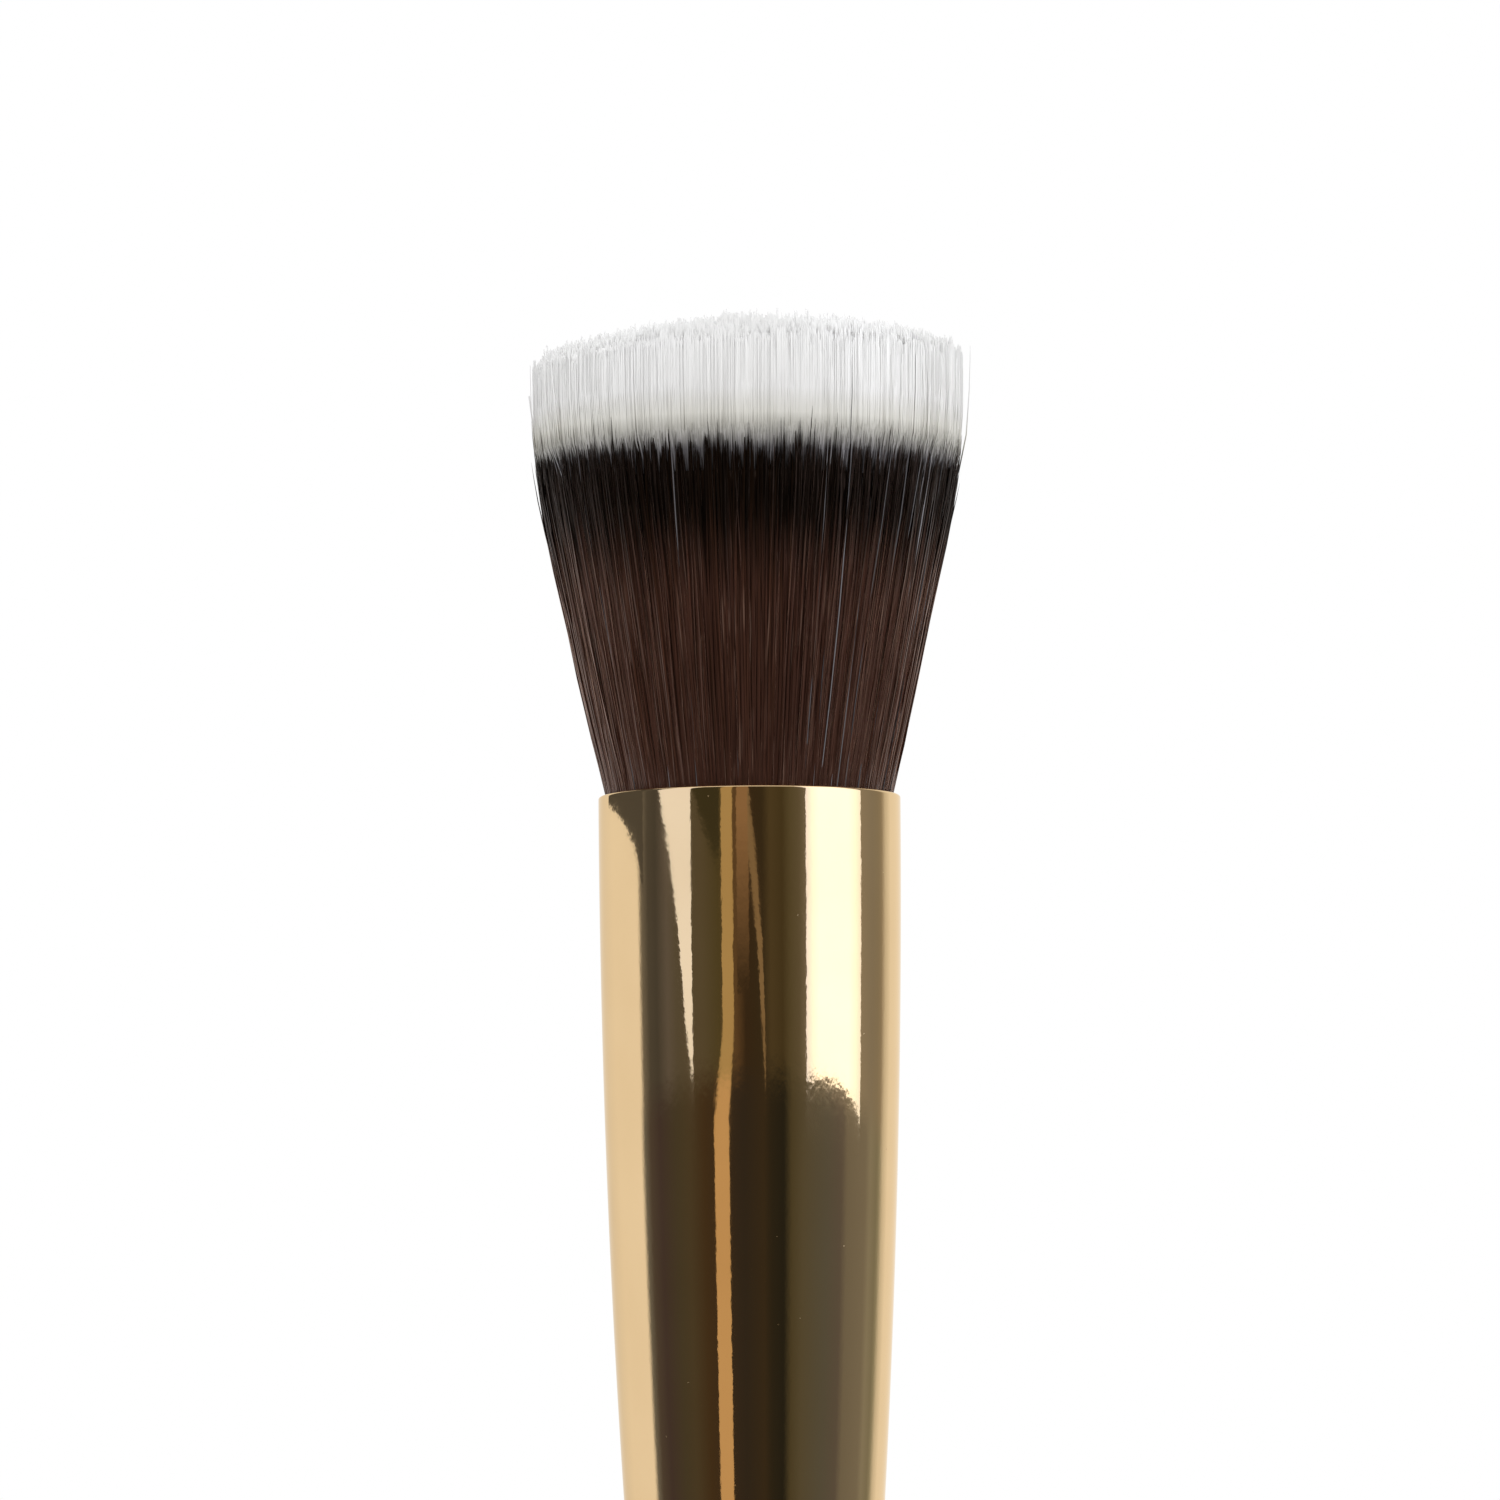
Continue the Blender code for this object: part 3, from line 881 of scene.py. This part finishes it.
# Single fibres: azimuths in degrees from the front towards the right, heights of the dark tips above
# the mouth, shares of the height that have a ring, and the thickness in the roots and at each ring
stray_azimuths = (22, 26, 29, 34, 37, 41, 44, 48, 53, 57, 60, 64, 67, 70, 74, 77, -4, -9, -21, -33, -52)
stray_dark_azimuths = (29, 33, -19, 150, 205, 262)
stray_dark_heights = (0.0288, 0.0252, 0.0262, 0.0275, 0.0263, 0.0281)
stray_rings = (0, 0.2, 0.4, 0.6, 0.75, 0.88, 1)
stray_white_taper = (0.8, 0.8, 0.9, 1, 1, 0.9, 0.7, 0.3)
stray_dark_taper = (1, 1, 1, 1, 0.9, 0.8, 0.6, 0.2)


def stray_lines(azimuth, share, tips, sway, chance):
    """Centre lines of single fibres, which cling to no tuft and aren't tucked in."""
    bend = 0.00010
    hold = (azimuth, share, 0.0, 0.5)
    no_tuck, sways = np.zeros(len(azimuth)), np.full(len(azimuth), sway)
    return fan_lines(azimuth, share, tips, stray_rings, hold, no_tuck, sways, bend, chance)


def make_stray_white(look, chance):
    """Long white fibres that lie outside the hair down to the ferrule."""
    back_count, back_start, back_end, back_spread = 8, 112, 245, 9
    least_share, most_share, tip_share, tip_spread = 0.985, 0.996, 0.97, 0.0006
    sway, least_radius, most_radius = 0.00015, 0.000030, 0.000060
    at_back = np.linspace(back_start, back_end, back_count) + chance.normal(0, back_spread, back_count)
    azimuth = np.radians(np.append(at_back, stray_azimuths) - 90)
    count = len(azimuth)
    share = chance.uniform(least_share, most_share, count)
    tips = dome(azimuth, share * tip_share) - np.abs(chance.normal(0, tip_spread, count))
    lines = stray_lines(azimuth, share, tips, sway, chance)
    radii = chance.uniform(least_radius, most_radius, (count, 1)) * np.array(stray_white_taper)
    add_fibres("stray_white_strands", lines, radii, look, "white_fibre", "white_fibres", chance, 1)


def make_stray_dark(look, chance):
    """Thin dark hairs that reach up among the white."""
    place_share, sway, radius = 0.99, 0.0001, 0.000026
    azimuth = np.radians(np.array(stray_dark_azimuths) - 90)
    share = np.full(len(azimuth), place_share)
    lines = stray_lines(azimuth, share, np.array(stray_dark_heights), sway, chance)
    radii = np.full((len(azimuth), 1), radius) * np.array(stray_dark_taper)
    add_fibres("stray_dark_strands", lines, radii, look, "dark_fibre", "dark_fibres", chance, 1)


def make_stray_strands(white, dark):
    chance = np.random.default_rng(37)
    make_stray_white(white, chance)
    make_stray_dark(dark, chance)


# Stage: floor, background, reflected cards, lamps and camera

ambient = 0.69
floor_radius, floor_sides = 1.6, 96
floor_fade = (0.25, 0.9)
floor_grey, floor_lift = 0.8, 0.15
card_distance = 0.35
near_card_distance = card_distance * 0.98
card_top = 0.55
room_steps = 170
tabletop_start = 0.012
tabletop_height = 0.001


def beside_brush(azimuth, reach, z):
    """A point at an azimuth in degrees from the front towards the right."""
    angle = math.radians(azimuth)
    return reach * math.sin(angle), -reach * math.cos(angle), z


def seen_directly(tree):
    """1 for rays from the camera, a mirror or glass, and 0 for rays that light a surface."""
    path = add_node(tree, "LightPath").outputs
    seen = maths(tree, "MAXIMUM", path["Is Camera Ray"], path["Is Glossy Ray"])
    return maths(tree, "MAXIMUM", seen, path["Is Transmission Ray"])


def make_world():
    """White that lights less than it shows to the camera and to mirrors."""
    world = bpy.data.worlds.new("studio")
    bpy.context.scene.world = world
    world.use_nodes = True
    tree = world.node_tree
    tree.nodes.clear()
    white = (1, 1, 1, 1)
    lighting = add_node(tree, "Background", {"Color": white, "Strength": ambient})
    shown = add_node(tree, "Background", {"Color": white, "Strength": 1.0})
    mix = {0: seen_directly(tree), 1: lighting.outputs[0], 2: shown.outputs[0]}
    shader = add_node(tree, "MixShader", mix)
    add_node(tree, "OutputWorld", {"Surface": shader.outputs[0]})


def make_floor():
    """A round white floor that keeps the brush's shadow and fades into the background."""
    made, tree = new_material("floor_paper")
    grey = (floor_grey, floor_grey, floor_grey, 1)
    length = add_node(tree, "VectorMath", {0: coordinates(tree)}, operation="LENGTH")
    far = stretch(tree, length.outputs["Value"], *floor_fade)
    seen = seen_directly(tree)
    paper = add_node(tree, "BsdfDiffuse", {"Color": grey})
    lift = add_node(tree, "Emission", {"Strength": maths(tree, "MULTIPLY", seen, floor_lift)})
    near = add_node(tree, "AddShader", {0: paper.outputs[0], 1: lift.outputs[0]})
    away = add_node(tree, "Emission", {"Strength": 1.0})
    mix = {0: maths(tree, "MULTIPLY", far, seen), 1: near.outputs[0], 2: away.outputs[0]}
    finish_material(tree, add_node(tree, "MixShader", mix))
    points = [beside_brush(azimuth, floor_radius, 0) for azimuth in spread(0, 360, floor_sides)[:-1]]
    add_mesh("floor", points, [list(range(len(points)))], made)


def card(name, points, look):
    """A band through pairs of points, one on each edge, that shows only in reflections."""
    faces = [(i, i + 2, i + 3, i + 1) for i in range(0, len(points) - 2, 2)]
    made = add_mesh(name, points, faces, look)
    made.visible_camera = made.visible_diffuse = made.visible_shadow = False
    made.visible_transmission = made.visible_volume_scatter = False


def panel(name, distance, columns, look):
    """An upright curved card through columns of (azimuth in degrees, low height, high height)."""
    points = [beside_brush(azimuth, distance, z) for azimuth, *ends in columns for z in ends]
    card(name, points, look)


def tabletop(look, azimuths):
    """The room's tones carried on over the floor towards the foot, for reflections seen from above."""
    reaches, points = (tabletop_start, card_distance), []
    for azimuth in azimuths:
        points += [beside_brush(azimuth, reach, tabletop_height) for reach in reaches]
    card("tabletop", points, look)


def glow(name, tone, strength=1.0):
    """Light of one colour, or of the colours that a function of the node tree gives."""
    made, tree = new_material(name)
    colour = tone(tree) if callable(tone) else (*tone, 1)
    finish_material(tree, add_node(tree, "Emission", {"Color": colour, "Strength": strength}))
    return made


# Tones of the studio round the brush, above and below the edge of the table that the ferrule
# mirrors: (azimuth in degrees, red, green, blue)
upper_tones = (
    (-170, 0.86, 0.86, 0.86), (-148, 0.86, 0.86, 0.86), (-128, 0.96, 0.96, 0.96),
    (-94.5, 0.98, 0.98, 0.98), (-91, 0.20, 0.20, 0.20), (-84, 0.09, 0.09, 0.09),
    (-76, 0.075, 0.075, 0.075), (-66, 0.13, 0.125, 0.13), (-58, 0.11, 0.105, 0.09),
    (-37, 0.11, 0.10, 0.073), (-24, 0.088, 0.078, 0.04), (-11, 0.12, 0.08, 0.045),
    (-4, 0.045, 0.032, 0.020), (9, 0.045, 0.036, 0.022), (15, 0.085, 0.070, 0.040),
    (24, 0.068, 0.056, 0.030), (30, 0.105, 0.095, 0.060), (37, 0.13, 0.12, 0.09),
    (43, 0.20, 0.19, 0.17), (92, 0.31, 0.30, 0.28), (106, 0.27, 0.265, 0.25),
    (114, 0.28, 0.27, 0.24), (119, 0.33, 0.31, 0.27), (125, 0.70, 0.70, 0.68),
    (134, 0.95, 0.96, 0.97), (170, 0.97, 0.97, 0.97),
)
lower_tones = (
    (-170, 0.84, 0.84, 0.84), (-148, 0.84, 0.84, 0.84), (-128, 0.96, 0.96, 0.96),
    (-96, 0.98, 0.98, 0.98), (-92, 0.18, 0.19, 0.20), (-86, 0.09, 0.08, 0.08),
    (-76, 0.066, 0.053, 0.060), (-60, 0.072, 0.066, 0.050), (-50, 0.080, 0.069, 0.048),
    (-37, 0.065, 0.045, 0.026), (-12, 0.040, 0.033, 0.028), (-6, 0.036, 0.031, 0.027),
    (9, 0.046, 0.036, 0.024), (15, 0.030, 0.027, 0.020), (25, 0.022, 0.022, 0.018),
    (31, 0.085, 0.078, 0.050), (40, 0.108, 0.104, 0.080), (60, 0.110, 0.117, 0.115),
    (74, 0.125, 0.120, 0.127), (80, 0.19, 0.19, 0.18), (100, 0.22, 0.22, 0.21),
    (106, 0.28, 0.29, 0.27), (115, 0.24, 0.25, 0.22), (119, 0.32, 0.34, 0.30),
    (125, 0.72, 0.73, 0.72), (134, 0.97, 0.98, 1.0), (170, 0.97, 0.97, 0.97),
)
table_edge_low_z = 0.1165
table_edge_high_z = 0.1225


def tone_ramp(tree, tones):
    """The colour of a row of tones at the azimuth of the place."""
    spot = axes(tree, coordinates(tree))
    azimuth = maths(tree, "ARCTAN2", spot["X"], maths(tree, "MULTIPLY", spot["Y"], -1.0))
    low, high = tones[0][0], tones[-1][0]
    share = stretch(tree, azimuth, math.radians(low), math.radians(high))
    ramp = add_node(tree, "ValToRGB", {"Fac": share})
    stops = ramp.color_ramp.elements
    for angle, *colour in tones[1:-1]:
        stops.new((angle - low) / (high - low)).color = (*colour, 1)
    stops[0].color = (*tones[0][1:], 1)
    stops[-1].color = (*tones[-1][1:], 1)
    return ramp.outputs["Color"]


def room_tone(tree):
    above = stretch(tree, axes(tree, coordinates(tree))["Z"], table_edge_low_z, table_edge_high_z)
    return blend(tree, above, tone_ramp(tree, lower_tones), tone_ramp(tree, upper_tones))


def bright_tone(tree):
    """A cool light that is strongest in the middle of its card."""
    return tone_ramp(tree, bright_tones)


def amber_fade(tree):
    """Amber that grows from nearly nothing at the card's lower edge."""
    grown = stretch(tree, axes(tree, coordinates(tree))["Z"], amber_glow_low_z, amber_glow_full_z)
    return blend(tree, grown, (0.045, 0.032, 0.020), (0.30, 0.20, 0.12))


def make_room():
    """The studio's white sides and dark front, which the ferrule mirrors in upright bands."""
    look = glow("room", room_tone)
    azimuths = spread(upper_tones[0][0], upper_tones[-1][0], room_steps)
    panel("room", card_distance, [(azimuth, 0, card_top) for azimuth in azimuths], look)
    tabletop(look, azimuths)


# Columns of the cards: (azimuth in degrees, height of the lower edge), up to card_top
bright_columns = (
    (42.5, 0.1198), (46, 0.1201), (50, 0.1206), (57, 0.1209), (66, 0.1210),
    (72, 0.1209), (79, 0.1205), (85, 0.1199), (89, 0.1190), (92.5, 0.1174),
)
bright_tones = (
    (42.5, 0.50, 0.55, 0.74), (53, 0.86, 0.90, 1.00), (80, 0.86, 0.90, 1.00),
    (92.5, 0.55, 0.60, 0.72),
)
narrow_columns = (
    (-73, 0.1700), (-70, 0.1660), (-63.5, 0.1586), (-56, 0.1455),
    (-50.7, 0.1294), (-47, 0.1215), (-45, 0.121),
)
shade_columns = ((-135, 0.1673), (-115, 0.1655), (-97, 0.1605), (-92, 0.157), (-88, 0.153))
corner_columns = ((-44, 0.1690), (-38, 0.1640), (-27, 0.1570), (-23, 0.1570))
amber_glow_low_z, amber_glow_full_z = 0.134, 0.164
amber_glow_columns = ((-10, amber_glow_low_z), (-1, amber_glow_low_z))

# Columns with both edges: (azimuth in degrees, height of the lower edge, height of the upper edge).
# The amber band is two cards, the upper one set to the right, with a slanted step between them.
amber_step_z, amber_low_bend_z, amber_high_bend_z = 0.119, 0.1125, 0.1265
amber_high_columns = (
    (-25.3, amber_step_z, amber_step_z),
    (-21.5, amber_step_z, amber_high_bend_z),
    (-21.45, amber_step_z, card_top),
    (-15.3, amber_step_z, card_top),
    (-13, amber_high_bend_z, card_top),
)
amber_low_columns = (
    (-29, 0, amber_low_bend_z),
    (-25.3, 0, amber_step_z),
    (-17.5, 0, amber_step_z),
    (-17.45, amber_low_bend_z, amber_step_z),
    (-15.3, amber_step_z, amber_step_z),
)
amber_line_columns = (
    (-2.5, 0.160, 0.172), (4.7, 0.143, 0.156), (9, 0.125, 0.141), (10.8, 0.117, 0.125),
)


def up_to_top(columns):
    return [(azimuth, low, card_top) for azimuth, low in columns]


def make_cards():
    """Lit and dark cards in front of the brush."""
    cards = (
        ("bright_card", up_to_top(bright_columns), glow("bright_card", bright_tone, 2.4)),
        ("narrow_card", up_to_top(narrow_columns), glow("narrow_card", (0.90, 0.97, 1.15), 1.15)),
        ("dark_card", up_to_top(shade_columns), glow("dark_card", (0.09, 0.09, 0.09))),
        ("corner_card", up_to_top(corner_columns), glow("corner_card", (0.05, 0.047, 0.027))),
        ("amber_card_high", amber_high_columns, glow("amber_high", (0.47, 0.365, 0.19))),
        ("amber_card_low", amber_low_columns, glow("amber_low", (0.64, 0.45, 0.25))),
        ("amber_glow", up_to_top(amber_glow_columns), glow("amber_glow", amber_fade)),
        ("amber_line", amber_line_columns, glow("amber_line", (0.25, 0.19, 0.12))),
    )
    for name, columns, look in cards:
        panel(name, near_card_distance, columns, look)


# Lamps: name, azimuth and elevation in degrees, distance, width and power in watts
lamps = (
    ("left_softbox", -70, 14, 0.9, 0.7, 2.2),
    ("right_softbox", 56, 14, 0.9, 0.7, 2.6),
    ("top_softbox", 160, 66, 0.9, 0.8, 3.6),
    ("front_fill", 0, 20, 1.2, 1.2, 0.6),
)


def make_lamps():
    target = Vector((0, 0, mouth_z))
    for name, azimuth, elevation, distance, width, power in lamps:
        a, e = math.radians(azimuth), math.radians(elevation)
        direction = Vector((math.sin(a) * math.cos(e), -math.cos(a) * math.cos(e), math.sin(e)))
        data = bpy.data.lights.new(name, "AREA")
        data.shape = "SQUARE"
        data.size = width
        data.energy = power
        lamp = add_object(name, data)
        lamp.location = target + direction * distance
        lamp.rotation_mode = "QUATERNION"
        lamp.rotation_quaternion = (-direction).to_track_quat("-Z", "Y")
        lamp.visible_camera = lamp.visible_glossy = False


def make_camera():
    """Level with the lower ferrule and looking slightly up, with the small roll of the photograph."""
    distance, below_mouth, aim_above_mouth = 0.450, 0.0354, 0.0031
    side_shift, roll, frame_width = 0.00006, math.radians(0.42), 0.0993
    location = Vector((side_shift, -distance, mouth_z - below_mouth))
    pitch = math.atan2(below_mouth + aim_above_mouth, distance)
    data = bpy.data.cameras.new("camera")
    data.lens = data.sensor_width * (distance / math.cos(pitch)) / frame_width
    data.clip_start = 0.01
    camera = add_object("camera", data)
    camera.location = location
    upright = Euler((math.pi / 2 + pitch, 0, 0)).to_matrix()
    camera.rotation_euler = (upright @ Euler((0, 0, -roll)).to_matrix()).to_euler()
    bpy.context.scene.camera = camera


def give_finish(node, look):
    """A node of the solids that stays as it is gets its finish."""
    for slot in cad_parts[node].material_slots:
        slot.material = look


def main():
    make_ferrule(material(polished_gold))
    make_handle(material(black_lacquer))
    make_roots(material(set_roots))
    make_thread(material(waxed_thread))
    give_finish("glue_plug", material(amber_glue))
    white, dark = material(white_fibre), material(dark_fibre)
    make_packed_fibres(material(packed_dark), material(packed_white))
    make_dark_strands(dark)
    make_white_strands(white)
    make_stray_strands(white, dark)
    make_world()
    make_floor()
    make_room()
    make_cards()
    make_lamps()
    make_camera()
    bpy.context.scene.view_settings.view_transform = "Standard"


main()
